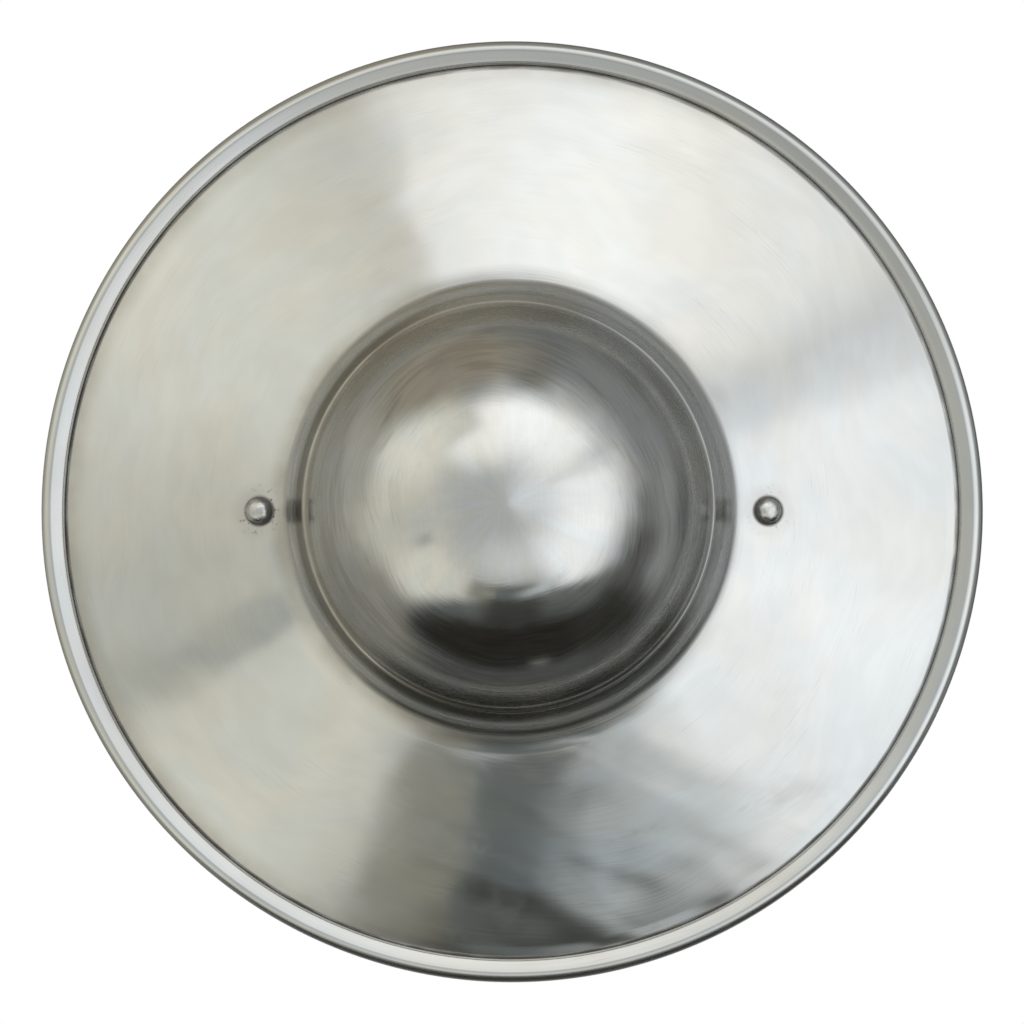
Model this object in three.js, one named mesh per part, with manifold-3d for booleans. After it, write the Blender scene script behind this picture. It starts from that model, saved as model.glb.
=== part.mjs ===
// Buckler: a round hand shield of spun steel sheet. A domed boss stands on a stepped foot, a conical
// plate falls back from the foot to the edge, and the edge is rolled to the front over a wire. Behind
// the boss a flat steel bar carries a wooden grip in a leather sleeve. One rivet holds each end of it.
//
// Lengths are in millimetres and angles in radians. The pieces are modelled with the shield lying
// face up on a bench: x to the right, y up as the shield is held, z out of the front, and z = 0 at
// the back of the rolled edge. The last lines stand the shield up, facing -Y, with its grip at 0.
import * as THREE from 'three';
import { mergeVertices } from 'three/addons/utils/BufferGeometryUtils.js';
import Module from 'manifold-3d';

const wasm = await Module();
wasm.setup();
const degree = Math.PI / 180;

// The sheet and the conical plate.
const outer_diameter = 360;
const sheet_thickness = 1.6;
const plate_slope = 20 * degree;

// The boss, from its dome outwards: ledge, steep wall and skirt, then the plate.
const dome_radius = 79.4;
const dome_base_slope = 70 * degree;
const ledge_inner_diameter = 151;
const ledge_width = 2.3;
const ledge_slope = 22 * degree;
const wall_width = 3.4;
const wall_slope = 65 * degree;
const skirt_width = 4.1;
const skirt_slope = 50 * degree;
const ledge_corner_radius = 1.2;
const shoulder_inside_radius = 1;
const knee_radius = 5;
const foot_corner_radius = 4;

// The rolled edge: a curl round the wire, a hammered flat that faces inwards, and a bend down to
// the plate, where the cut edge of the sheet stops just short of it.
const roll_inside_radius = 2;
const roll_width = 9.05;
const roll_flat_slope = 20 * degree;
const crease_inside_radius = 0.2;
const roll_bend_inside_radius = 0.3;
const cut_edge_gap = 0.33;

// Clearance between pieces that are pressed, pinned or riveted together.
const fit_gap = 0.3;

// The rivets and the roves, the washers under their hammered tails.
const rivet_foot_distance = 10.35;
const rivet_pair_offset = 1.5;
const rivet_shank_diameter = 6;
const rivet_head_diameter = 10.5;
const rivet_head_height = 4.3;
const rivet_head_rim = 0.6;
const rivet_crown_diameter = 3.6;
const rivet_tail_diameter = 9.6;
const rivet_tail_height = 2.2;
const rivet_tail_rim = 0.8;
const rove_diameter = 15;
const rove_thickness = 1.5;

// The grip bar: flat steel, with round ends that are bent back to lie on the plate.
const grip_drop = 1.2;
const bar_thickness = 3;
const bar_width = 20;
const bar_end_diameter = 26;
const bar_neck_radius = 12;
const bar_bend_inset = 1.3;
const bar_bend_inside_radius = 3;
const bar_relief = 0.25;

// The wooden scales, their pins and the leather sleeve.
const grip_length = 108;
const grip_middle_height = 31;
const grip_end_height = 26;
const grip_end_round = 2;
const grip_flatness_share = 0.78;
const pin_diameter = 4;
const pin_inset = 18;
const pin_end_depth = 1;
const leather_thickness = 1.8;
const leather_inset = 4;
const leather_lip_radius = 0.6;

// How finely the round shapes are cut.
const plate_sides = 64;
const wire_sides = 8;
const small_sides = 24;
const grip_sides = 24;
const grip_stations = 8;

// One named overrun serves all cuts.
const cut_overrun = 5;

// Sizes that follow from the ones above.
const outer_radius = outer_diameter / 2;
const roll_outside_radius = roll_inside_radius + sheet_thickness;
const roll_centre = new THREE.Vector2(outer_radius - roll_outside_radius, roll_outside_radius);
const roll_wall_radius = outer_radius - roll_width;
const ledge_inner_radius = ledge_inner_diameter / 2;
const shoulder_radius = ledge_inner_radius + ledge_width;
const knee_place_radius = shoulder_radius + wall_width;
const foot_radius = knee_place_radius + skirt_width;
const rivet_distance = foot_radius + rivet_foot_distance;
const pin_spacing = grip_length - 2 * pin_inset;

// Height of the plate's front surface where the plate has radius r, and of a surface that lies
// depth behind it, measured square to the plate.
function plateHeight(r, depth = 0) {
  const rise = (roll_centre.x - r) * Math.tan(plate_slope);
  return roll_centre.y + rise - (roll_inside_radius + depth) / Math.cos(plate_slope);
}

// A bent sheet's section. corners are the points where its straight runs would meet, each with the
// radius that rounds it and the number of steps in that arc. The path keeps to one face of the
// sheet, and each point of the result also holds the way from that face to the other one.
function roundedPath(corners) {
  const path = [];
  corners.forEach((corner, i) => {
    const before = corners[i - 1];
    const after = corners[i + 1];
    if (!before || !after) {
      const run = before ? corner.at.clone().sub(before.at) : after.at.clone().sub(corner.at);
      path.push(pathPoint(corner.at.clone(), run.normalize()));
      return;
    }
    const way_in = corner.at.clone().sub(before.at).normalize();
    const way_out = after.at.clone().sub(corner.at).normalize();
    const turn = Math.atan2(way_in.cross(way_out), way_in.dot(way_out));
    const tangent = corner.radius * Math.tan(Math.abs(turn) / 2);
    const side = Math.sign(turn);
    const start = corner.at.clone().addScaledVector(way_in, -tangent);
    const centre = start.clone().addScaledVector(leftOf(way_in), side * corner.radius);
    for (let step = 0; step <= corner.steps; step += 1) {
      const angle = (turn * step) / corner.steps;
      const place = start.clone().rotateAround(centre, angle);
      path.push(pathPoint(place, way_in.clone().rotateAround(new THREE.Vector2(), angle)));
    }
  });
  return path;
}

function leftOf(direction) {
  return new THREE.Vector2(-direction.y, direction.x);
}

function pathPoint(place, direction) {
  return { place, back: leftOf(direction).negate() };
}

// The closed outline of a sheet whose front face follows the path, counterclockwise when the path
// runs to the right.
function sheetOutline(path, thickness) {
  const front = path.map((point) => point.place);
  const back = path.map((point) => point.place.clone().addScaledVector(point.back, thickness));
  return [...back, ...front.reverse()];
}

function corner(x, y, radius = 0, steps = 1) {
  return { at: new THREE.Vector2(x, y), radius, steps };
}

// Turns a closed outline, given as radius and height, round the z axis.
function turned(outline, sides, closed) {
  const points = closed ? [...outline, outline[0]] : outline;
  return new THREE.LatheGeometry(points, sides).rotateX(Math.PI / 2);
}

// A geometry as a solid that can be joined and cut.
function solidOf(geometry) {
  const bare = geometry.clone();
  bare.deleteAttribute('normal');
  bare.deleteAttribute('uv');
  const merged = mergeVertices(bare);
  const index = merged.getIndex().array;
  const faces = [];
  for (let i = 0; i < index.length; i += 3) {
    const [a, b, c] = index.slice(i, i + 3);
    if (a !== b && b !== c && c !== a) faces.push(a, b, c);
  }
  return new wasm.Manifold(new wasm.Mesh({
    numProp: 3,
    vertProperties: merged.getAttribute('position').array,
    triVerts: new Uint32Array(faces),
  }));
}

function geometryOf(solid) {
  const mesh = solid.getMesh();
  const geometry = new THREE.BufferGeometry();
  geometry.setAttribute('position', new THREE.BufferAttribute(mesh.vertProperties, 3));
  geometry.setIndex(new THREE.BufferAttribute(mesh.triVerts, 1));
  geometry.computeVertexNormals();
  return geometry;
}

// A round rod along z for holes, from its low to its high end.
function rod(diameter, low, high, sides = small_sides) {
  const length = high - low;
  const geometry = new THREE.CylinderGeometry(diameter / 2, diameter / 2, length, sides);
  return geometry.rotateX(Math.PI / 2).translate(0, 0, low + length / 2);
}

// The two rivets: where each axis leaves the plate's front face, and how far it leans outwards.
const rivets = [-1, 1].map((side) => {
  const x = rivet_pair_offset + side * rivet_distance;
  const r = Math.hypot(x, grip_drop);
  return { x, side, z: plateHeight(r), lean: side * plate_slope };
});

// Puts a geometry that is drawn round a rivet's own axis, with z = 0 at the plate's face, in place.
function atRivet(geometry, rivet) {
  return geometry.clone().rotateY(rivet.lean).translate(rivet.x, -grip_drop, rivet.z);
}

// Depths below the plate's front face, along a rivet, of the pieces that it holds together. The
// bar's flat end needs more room than the fit gap, because the back of the cone is hollow there.
const bar_end_reach = bar_end_diameter / 2 + grip_drop;
const nearest_rivet = Math.min(...rivets.map((rivet) => Math.abs(rivet.x)));
const cone_hollow = (bar_end_reach ** 2 * Math.sin(plate_slope)) / (2 * nearest_rivet);
const bar_front_depth = sheet_thickness + fit_gap + cone_hollow;
const rove_front_depth = bar_front_depth + bar_thickness + fit_gap;
const tail_front_depth = rove_front_depth + rove_thickness + fit_gap;
const rivet_hole_diameter = rivet_shank_diameter + 2 * fit_gap;

// Height of the bar's front face and of its middle, and so of the grip.
const bar_bend_x = foot_radius - bar_bend_inset;
const bar_front_height = plateHeight(bar_bend_x, bar_front_depth);
const grip_height = bar_front_height - bar_thickness / 2;

// The front face of the whole sheet, from the dome's top out to the edge and round the curl.
function sheetCorners() {
  const foot = plateHeight(foot_radius);
  const knee = foot + skirt_width * Math.tan(skirt_slope);
  const shoulder = knee + wall_width * Math.tan(wall_slope);
  const ledge = shoulder + ledge_width * Math.tan(ledge_slope);
  const dome_top_corner = dome_radius * Math.tan(dome_base_slope / 2);
  const dome_top = ledge + (ledge_inner_radius - dome_top_corner) * Math.tan(dome_base_slope);
  const curl_x = roll_centre.x + roll_inside_radius;
  const curl_top = roll_centre.y + roll_inside_radius;
  const crease_x = roll_centre.x - crease_inside_radius * Math.tan(roll_flat_slope / 2);
  const bend_x = roll_wall_radius + sheet_thickness;
  const bend = curl_top - (crease_x - bend_x) * Math.tan(roll_flat_slope);
  return [
    corner(0, dome_top),
    corner(dome_top_corner, dome_top, dome_radius, 8),
    corner(ledge_inner_radius, ledge, ledge_corner_radius, 1),
    corner(shoulder_radius, shoulder, shoulder_inside_radius + sheet_thickness, 2),
    corner(knee_place_radius, knee, knee_radius, 1),
    corner(foot_radius, foot, foot_corner_radius, 2),
    corner(curl_x, plateHeight(curl_x), roll_inside_radius, 5),
    corner(curl_x, curl_top, roll_inside_radius, 3),
    corner(crease_x, curl_top, crease_inside_radius, 1),
    corner(bend_x, bend, roll_bend_inside_radius, 3),
    corner(bend_x, plateHeight(roll_wall_radius) + cut_edge_gap),
  ];
}

function facePlate() {
  const outline = sheetOutline(roundedPath(sheetCorners()), sheet_thickness);
  let plate = solidOf(turned(outline, plate_sides, false));
  for (const rivet of rivets) {
    const hole = rod(rivet_hole_diameter, -sheet_thickness - cut_overrun, cut_overrun);
    plate = plate.subtract(solidOf(atRivet(hole, rivet)));
  }
  return geometryOf(plate);
}

// The wire is as thick as the curl lets it be under the hammered flat.
function rimWire() {
  const roof = roll_outside_radius * Math.cos(roll_flat_slope) - sheet_thickness;
  const wire_radius = roof - fit_gap;
  const outline = [];
  for (let i = 0; i < wire_sides; i += 1) {
    const angle = (2 * Math.PI * i) / wire_sides;
    const x = roll_centre.x + wire_radius * Math.cos(angle);
    outline.push(new THREE.Vector2(x, roll_centre.y + wire_radius * Math.sin(angle)));
  }
  return turned(outline, plate_sides, true);
}

// A button-headed rivet, with its tail hammered out over the rove.
function rivetBlank() {
  const shank = rivet_shank_diameter / 2;
  const head = rivet_head_diameter / 2;
  const crown = rivet_crown_diameter / 2;
  const tail = rivet_tail_diameter / 2;
  const rim_top = fit_gap + rivet_head_rim;
  const head_top = fit_gap + rivet_head_height;
  const tail_rim = -tail_front_depth - rivet_tail_rim;
  const tail_end = -tail_front_depth - rivet_tail_height;
  const outline = [
    new THREE.Vector2(0, tail_end),
    new THREE.Vector2(shank, tail_end),
    new THREE.Vector2(tail, tail_rim),
    new THREE.Vector2(tail, -tail_front_depth),
    new THREE.Vector2(shank, -tail_front_depth),
    new THREE.Vector2(shank, fit_gap),
    new THREE.Vector2(head, fit_gap),
  ];
  const crown_angle = Math.acos(crown / head);
  const head_steps = 5;
  for (let i = 0; i <= head_steps; i += 1) {
    const angle = (crown_angle * i) / head_steps;
    const rise = (head_top - rim_top) * (Math.sin(angle) / Math.sin(crown_angle));
    outline.push(new THREE.Vector2(head * Math.cos(angle), rim_top + rise));
  }
  outline.push(new THREE.Vector2(0, head_top));
  return turned(outline, small_sides, false);
}

function roveBlank() {
  const inner = rivet_hole_diameter / 2;
  const outer = rove_diameter / 2;
  const outline = [
    new THREE.Vector2(inner, -rove_front_depth - rove_thickness),
    new THREE.Vector2(outer, -rove_front_depth - rove_thickness),
    new THREE.Vector2(outer, -rove_front_depth),
    new THREE.Vector2(inner, -rove_front_depth),
  ];
  return turned(outline, small_sides, true);
}

// The bar seen from the front: a round end at each rivet, and necks that blend into the width.
function barFront() {
  const end = bar_end_diameter / 2;
  const half = bar_width / 2;
  const neck_y = half + bar_neck_radius;
  const neck_x = Math.sqrt((end + bar_neck_radius) ** 2 - neck_y ** 2);
  const neck_angle = Math.atan2(neck_y, neck_x);
  const quarter = Math.PI / 2;
  const [left, right] = rivets;
  const shape = new THREE.Shape();
  shape.absarc(left.x + neck_x, -neck_y, bar_neck_radius, 2 * quarter - neck_angle, quarter, true);
  shape.absarc(right.x - neck_x, -neck_y, bar_neck_radius, quarter, neck_angle, true);
  shape.absarc(right.x, 0, end, neck_angle - 2 * quarter, 2 * quarter - neck_angle, false);
  shape.absarc(right.x - neck_x, neck_y, bar_neck_radius, -neck_angle, -quarter, true);
  shape.absarc(left.x + neck_x, neck_y, bar_neck_radius, -quarter, neck_angle - 2 * quarter, true);
  shape.absarc(left.x, 0, end, neck_angle, -neck_angle, false);
  return shape;
}

// The bar is filed a little thinner where the scales lie, so that they end at shoulders in it. side
// is 1 for the front face and -1 for the back.
function barRelief(side) {
  const depth = bar_thickness / 2 - bar_relief + cut_overrun / 2;
  const width = bar_width + 2 * cut_overrun;
  const cut = new THREE.BoxGeometry(grip_length + 2 * fit_gap, width, cut_overrun);
  return solidOf(cut.translate(rivet_pair_offset, -grip_drop, grip_height + side * depth));
}

// The bar's bent section, wide enough to be cut to its front outline.
function gripBar() {
  const reach = Math.max(...rivets.map((rivet) => Math.abs(rivet.x))) + bar_end_diameter;
  const bend_radius = bar_bend_inside_radius + bar_thickness;
  const path = roundedPath([
    corner(-reach, plateHeight(reach, bar_front_depth)),
    corner(-bar_bend_x, bar_front_height, bend_radius, 3),
    corner(bar_bend_x, bar_front_height, bend_radius, 3),
    corner(reach, plateHeight(reach, bar_front_depth)),
  ]);
  const section = new THREE.Shape(sheetOutline(path, bar_thickness));
  const width = bar_end_diameter + 2 * cut_overrun;
  const bent = new THREE.ExtrudeGeometry(section, { depth: width, bevelEnabled: false });
  bent.translate(0, 0, -width / 2).rotateX(Math.PI / 2).translate(0, -grip_drop, 0);
  const height = bar_front_height + cut_overrun;
  const front = new THREE.ExtrudeGeometry(barFront(), {
    depth: height, bevelEnabled: false, curveSegments: small_sides / 3,
  });
  front.translate(0, -grip_drop, 0);
  let bar = solidOf(bent).intersect(solidOf(front));
  for (const side of [-1, 1]) bar = bar.subtract(barRelief(side));
  for (const rivet of rivets) {
    const hole = rod(rivet_hole_diameter, -tail_front_depth - cut_overrun, 0);
    bar = bar.subtract(solidOf(atRivet(hole, rivet)));
  }
  for (const pin of pinPlaces()) bar = bar.subtract(pinHole(pin));
  return geometryOf(bar);
}

// The grip swells towards its middle. place runs from -1 to 1 along it, and out is how far
// outside the wood a surface lies.
function gripRadius(place, out = 0) {
  const swell = (grip_middle_height - grip_end_height) / 2;
  return grip_end_height / 2 + swell * Math.cos((place * Math.PI) / 2) + out;
}

// A body whose radius follows the grip, flattened from front to back and laid along x.
function alongGrip(outline, closed) {
  const body = new THREE.LatheGeometry(closed ? [...outline, outline[0]] : outline, grip_sides);
  body.rotateZ(-Math.PI / 2).scale(1, 1, grip_flatness_share);
  return body.translate(rivet_pair_offset, -grip_drop, grip_height);
}

// One side of a sleeve round the grip, out from the wood and inset from its ends.
function gripSide(out, inset) {
  const half = grip_length / 2 - inset;
  const side = [];
  for (let i = 0; i <= grip_stations; i += 1) {
    const place = (2 * i) / grip_stations - 1;
    const radius = gripRadius((place * half) / (grip_length / 2), out);
    side.push(new THREE.Vector2(radius, place * half));
  }
  return side;
}

function pinPlaces() {
  return [-1, 1].map((side) => rivet_pair_offset + (side * pin_spacing) / 2);
}

function pinHalfLength() {
  const share = pin_spacing / grip_length;
  return gripRadius(share) * grip_flatness_share - pin_end_depth;
}

function pinHole(x) {
  const reach = gripRadius(0) + cut_overrun;
  const hole = rod(pin_diameter + 2 * fit_gap, -reach, reach, small_sides / 2);
  return solidOf(hole.translate(x, -grip_drop, grip_height));
}

function gripPin(x) {
  const half = pinHalfLength();
  return rod(pin_diameter, -half, half, small_sides / 2).translate(x, -grip_drop, grip_height);
}

// One wooden scale: the half of the grip on one side of the bar, with a rebate that the bar lies
// in. front is 1 for the scale in the boss and -1 for the one towards the palm.
function gripScale(front) {
  const half = grip_length / 2;
  const inner = gripSide(0, grip_end_round);
  const ends = gripRadius(1) - grip_end_round;
  const outline = [
    new THREE.Vector2(0, -half),
    new THREE.Vector2(ends, -half),
    ...inner,
    new THREE.Vector2(ends, half),
    new THREE.Vector2(0, half),
  ];
  const reach = grip_length + cut_overrun;
  const block = new THREE.BoxGeometry(reach, reach, reach);
  block.translate(0, 0, front * (reach / 2 + fit_gap / 2) + grip_height);
  const rebate_depth = bar_thickness - 2 * bar_relief + 2 * fit_gap;
  const rebate = new THREE.BoxGeometry(reach, bar_width + 2 * fit_gap, rebate_depth);
  rebate.translate(0, -grip_drop, grip_height);
  let scale = solidOf(alongGrip(outline, false)).intersect(solidOf(block));
  scale = scale.subtract(solidOf(rebate));
  for (const pin of pinPlaces()) scale = scale.subtract(pinHole(pin));
  return geometryOf(scale);
}

// The sewn leather sleeve. Its ends leave the wood bare.
function gripLeather() {
  const inner = gripSide(fit_gap, leather_inset);
  const outer = gripSide(fit_gap + leather_thickness, leather_inset + leather_lip_radius);
  return alongGrip([...outer, ...inner.reverse()], true);
}

const polished_steel = new THREE.MeshStandardMaterial({
  color: 0xc4c6c4, roughness: 0.25, metalness: 1,
});
const rivet_steel = new THREE.MeshStandardMaterial({
  color: 0xb4b4b0, roughness: 0.35, metalness: 1,
});
const forged_steel = new THREE.MeshStandardMaterial({
  color: 0x6f6f6c, roughness: 0.5, metalness: 1,
});
const ash_wood = new THREE.MeshStandardMaterial({ color: 0xa9825a, roughness: 0.6, metalness: 0 });
const brown_leather = new THREE.MeshStandardMaterial({
  color: 0x5a3a24, roughness: 0.65, metalness: 0,
});

const bench = new THREE.Group();

function place(name, geometry, material) {
  const mesh = new THREE.Mesh(geometry, material);
  mesh.name = name;
  bench.add(mesh);
}

place('face_plate', facePlate(), polished_steel);
place('rim_wire', rimWire(), forged_steel);
place('grip_bar', gripBar(), forged_steel);
place('grip_scale_front', gripScale(1), ash_wood);
place('grip_scale_rear', gripScale(-1), ash_wood);
place('grip_leather', gripLeather(), brown_leather);
pinPlaces().forEach((x, i) => {
  place(['grip_pin_left', 'grip_pin_right'][i], gripPin(x), forged_steel);
});
rivets.forEach((rivet, i) => {
  place(['rivet_left', 'rivet_right'][i], atRivet(rivetBlank(), rivet), rivet_steel);
  place(['rove_left', 'rove_right'][i], atRivet(roveBlank(), rivet), forged_steel);
});

// The shield stands up: its front turns to -Y, and the height of the grip comes to 0.
bench.rotation.x = Math.PI / 2;
bench.position.y = grip_height;

const buckler = new THREE.Group();
buckler.add(bench);
buckler.updateMatrixWorld(true);

export default buckler;
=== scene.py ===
# %% [markdown]
# # A round hand shield of spun and polished steel
#
# A buckler is a small shield that is held at arm's length by a grip behind its boss. This one is a
# single steel sheet: a domed boss on a stepped foot, a plate that falls back as a shallow cone, and
# an edge that is rolled to the front over a wire. Behind the boss, a flat bar carries the wooden
# grip in its sewn leather sleeve, and one rivet through the plate holds each end of the bar.
#
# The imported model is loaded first. It is the frame that every finished piece is fitted to.

# %% Load the frame
import math
from functools import partialmethod

import bmesh
import bpy
from mathutils import Matrix, Vector, noise


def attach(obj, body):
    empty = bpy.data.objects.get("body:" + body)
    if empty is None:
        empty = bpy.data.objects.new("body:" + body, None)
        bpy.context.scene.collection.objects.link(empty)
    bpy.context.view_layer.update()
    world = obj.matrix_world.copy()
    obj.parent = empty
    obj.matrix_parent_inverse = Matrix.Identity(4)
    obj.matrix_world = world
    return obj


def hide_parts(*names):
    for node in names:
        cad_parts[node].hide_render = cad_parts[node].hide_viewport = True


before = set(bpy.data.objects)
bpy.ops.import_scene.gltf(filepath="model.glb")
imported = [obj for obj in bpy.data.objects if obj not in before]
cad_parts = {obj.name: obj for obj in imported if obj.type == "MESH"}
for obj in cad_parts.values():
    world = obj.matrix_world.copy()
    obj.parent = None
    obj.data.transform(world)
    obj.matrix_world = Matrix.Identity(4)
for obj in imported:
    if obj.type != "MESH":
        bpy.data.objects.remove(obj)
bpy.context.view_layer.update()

print("frame loaded, nodes:", sorted(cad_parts))


def added(name, data):
    """A new object in the scene that holds this data."""
    thing = bpy.data.objects.new(name, data)
    bpy.context.scene.collection.objects.link(thing)
    return thing


# %% [markdown]
# ## The camera
#
# The shield is seen from straight in front and a little from below, through a long lens from 1.6 m.
# The boss tells this: its rings sit slightly up and to the left of the rim's, as they would for a
# camera that stands 1.2 degrees to the right of the axis and 1.9 degrees below it.

# %% Camera
MM = 0.001
SENSOR = 36.0
camera_distance, frame_width = 1.6, 0.3915
camera_azimuth, camera_elevation = math.radians(1.23), math.radians(-1.85)
aim = Vector((0.00036, 0.0276, -0.0007))

lens = bpy.data.cameras.new("long_lens")
lens.sensor_width = SENSOR
lens.lens = SENSOR * camera_distance / frame_width
camera = added("camera", lens)
back = Vector((
    math.sin(camera_azimuth) * math.cos(camera_elevation),
    -math.cos(camera_azimuth) * math.cos(camera_elevation),
    math.sin(camera_elevation),
))
camera.location = aim + back * camera_distance
camera.rotation_mode = "QUATERNION"
camera.rotation_quaternion = (-back).to_track_quat("-Z", "Y")
bpy.context.scene.camera = camera
bpy.context.scene.view_settings.view_transform = "Standard"
print("lens", round(lens.lens, 1), "mm")

# %% [markdown]
# ## The sizes
#
# These are the sizes of the modelled part, in metres and radians. The part is drawn face up on a
# bench, where a point has a radius and a height above the back of the rolled edge, so the helpers
# here turn bench places into places on the standing shield, whose face looks along -Y.

# %% Sizes of the sheet
outer_radius = 180 * MM
sheet = 1.6 * MM
plate_slope = math.radians(20)
dome_radius = 79.4 * MM
dome_base_slope = math.radians(70)
ledge_inner_radius = 75.5 * MM
shoulder_radius = ledge_inner_radius + 2.3 * MM
knee_radius = shoulder_radius + 3.4 * MM
foot_radius = knee_radius + 4.1 * MM
ledge_slope, wall_slope, skirt_slope = [math.radians(slope) for slope in (22, 65, 50)]
curl_inside = 2 * MM
curl_outside = curl_inside + sheet
curl_centre = Vector((outer_radius - curl_outside, curl_outside))
roll_wall_radius = outer_radius - 9.05 * MM
roll_flat_slope = math.radians(20)
roll_bend = 0.2 * MM
cut_edge_gap = 0.33 * MM

# The spinner's own soft step at the boss, where the modelled part has a sharper one.
lip_radius, soft_knee_radius, soft_foot_radius = 76.9 * MM, 80.4 * MM, 84.3 * MM
soft_dome_slope, soft_ledge_slope = math.radians(68), math.radians(28)
soft_wall_slope = math.radians(68.5)


def plate_height(r, depth=0.0):
    """Height of the cone's front face at radius r, or of the face that lies depth behind it."""
    rise = (curl_centre.x - r) * math.tan(plate_slope)
    return curl_centre.y + rise - (curl_inside + depth) / math.cos(plate_slope)


# %% Sizes of the grip, its bar and the rivets
rivet_radius = 3 * MM
rivet_foot_distance = 10.35 * MM
pair_offset = 1.5 * MM
grip_drop = 1.2 * MM
bar_thickness, bar_width = 3 * MM, 20 * MM
bar_end_radius, bar_neck_radius = 13 * MM, 12 * MM
washer_thickness = 1.5 * MM
cad_gap = 0.3 * MM
bar_bend_x = foot_radius - 1.3 * MM
grip_length = 108 * MM
leather_inset = 4 * MM
leather_thickness = 1.8 * MM

rivet_distance = foot_radius + rivet_foot_distance
rivet_places = [(side, pair_offset + side * rivet_distance) for side in (-1, 1)]
nearest_rivet = min(abs(x) for side, x in rivet_places)
cone_hollow = (bar_end_radius + grip_drop) ** 2 * math.sin(plate_slope) / (2 * nearest_rivet)
bar_front_depth = sheet + cad_gap + cone_hollow
bar_front_height = plate_height(bar_bend_x, bar_front_depth)
grip_height = bar_front_height - bar_thickness / 2


def standing(x, y, height):
    """A place on the bench, right, up and above it, as a place on the standing shield."""
    return Vector((x, grip_height - height, y))


def rivet_foot(x):
    """Where the axis of the rivet at x meets the front of the plate."""
    return standing(x, -grip_drop, plate_height(math.hypot(x, grip_drop)))


print("grip height on the bench", round(grip_height / MM, 2), "mm")

# %% [markdown]
# ## Node trees from Python expressions
#
# A finish or a shape tree holds dozens of small sums. Written link by link they can't be read, so a
# socket is wrapped in a small class, and ordinary arithmetic on it adds the Math nodes. Any other
# node comes from one method, which sets the node's options first and then its sockets.

# %% The socket class
class Wire:
    """A socket of a node tree that takes part in arithmetic."""

    def __init__(self, tree, socket=None):
        self.tree = tree
        self.socket = socket

    def node(self, kind, sockets=None, out=0, **options):
        """Adds a node of any type and gives its output socket, out by name or place."""
        made = self.tree.nodes.new(kind)
        for option, value in options.items():
            setattr(made, option, value)
        for name, value in (sockets or {}).items():
            self.fill(made.inputs[name], value)
        return Wire(self.tree, made.outputs[out])

    def fill(self, socket, value):
        """Links a wire to a socket, or sets the socket's own value."""
        if isinstance(value, Wire):
            self.tree.links.new(value.socket, socket)
        else:
            socket.default_value = (*value, 1) if socket.type == "RGBA" else value

    def maths(self, operation, *others, kind="ShaderNodeMath", out=0):
        """A Math node whose first term is this socket."""
        return self.node(kind, dict(enumerate((self, *others))), out, operation=operation)

    def __rsub__(self, first):
        return self.node("ShaderNodeMath", {0: first, 1: self}, operation="SUBTRACT")

    __add__ = partialmethod(maths, "ADD")
    __sub__ = partialmethod(maths, "SUBTRACT")
    __mul__ = partialmethod(maths, "MULTIPLY")
    __truediv__ = partialmethod(maths, "DIVIDE")
    __pow__ = partialmethod(maths, "POWER")
    __mod__ = partialmethod(maths, "FLOORED_MODULO")
    __abs__ = partialmethod(maths, "ABSOLUTE")
    low = partialmethod(maths, "MINIMUM")
    high = partialmethod(maths, "MAXIMUM")
    vector_maths = partialmethod(maths, kind="ShaderNodeVectorMath")

    def ramp(self, start, end, low=0.0, high=1.0):
        """Goes smoothly from low to high as the value goes from start to end, and stays there."""
        sockets = {0: self, 1: start, 2: end, 3: low, 4: high}
        return self.node("ShaderNodeMapRange", sockets, interpolation_type="SMOOTHSTEP")

    def near(self, place, width, soft):
        """1 where the value is within width of place, falling to 0 over soft."""
        return abs(self - place).ramp(width + soft, width)

    def mm_ramp(self, start, end, low=0.0, high=1.0):
        """A ramp with its start and end in millimetres. The next two take millimetres too."""
        return self.ramp(start * MM, end * MM, low, high)

    def mm_near(self, place, width, soft):
        return self.near(place * MM, width * MM, soft * MM)

    def ring(self, start, full, fading, end):
        """1 from full to fading, and 0 before start and after end."""
        return self.mm_ramp(start, full) * self.mm_ramp(end, fading)

    def vector(self, x, y, z):
        return self.node("ShaderNodeCombineXYZ", {0: x, 1: y, 2: z})

    def parts(self):
        made = self.node("ShaderNodeSeparateXYZ", {0: self}).socket.node
        return [Wire(self.tree, socket) for socket in made.outputs]

    def stretched(self, x, y, z):
        """The vector with each of its parts multiplied."""
        return self.vector_maths("MULTIPLY", (x, y, z))

    def cloud(self, scale=1.0, detail=2.0, roughness=0.5, distortion=0.0):
        """Noise over the vector, about 0.5 in the middle."""
        return self.node("ShaderNodeTexNoise", {
            "Vector": self, "Scale": scale, "Detail": detail,
            "Roughness": roughness, "Distortion": distortion,
        }, "Fac")

    def between(self, first, second):
        """The first colour where the value is 0 and the second where it is 1."""
        colours = {0: self, 6: first, 7: second}
        return self.node("ShaderNodeMix", colours, 2, data_type="RGBA")


def new_material(name):
    """A new material, and a wire on its tree."""
    material = bpy.data.materials.new(name)
    material.use_nodes = True
    return material, Wire(material.node_tree)


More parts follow.
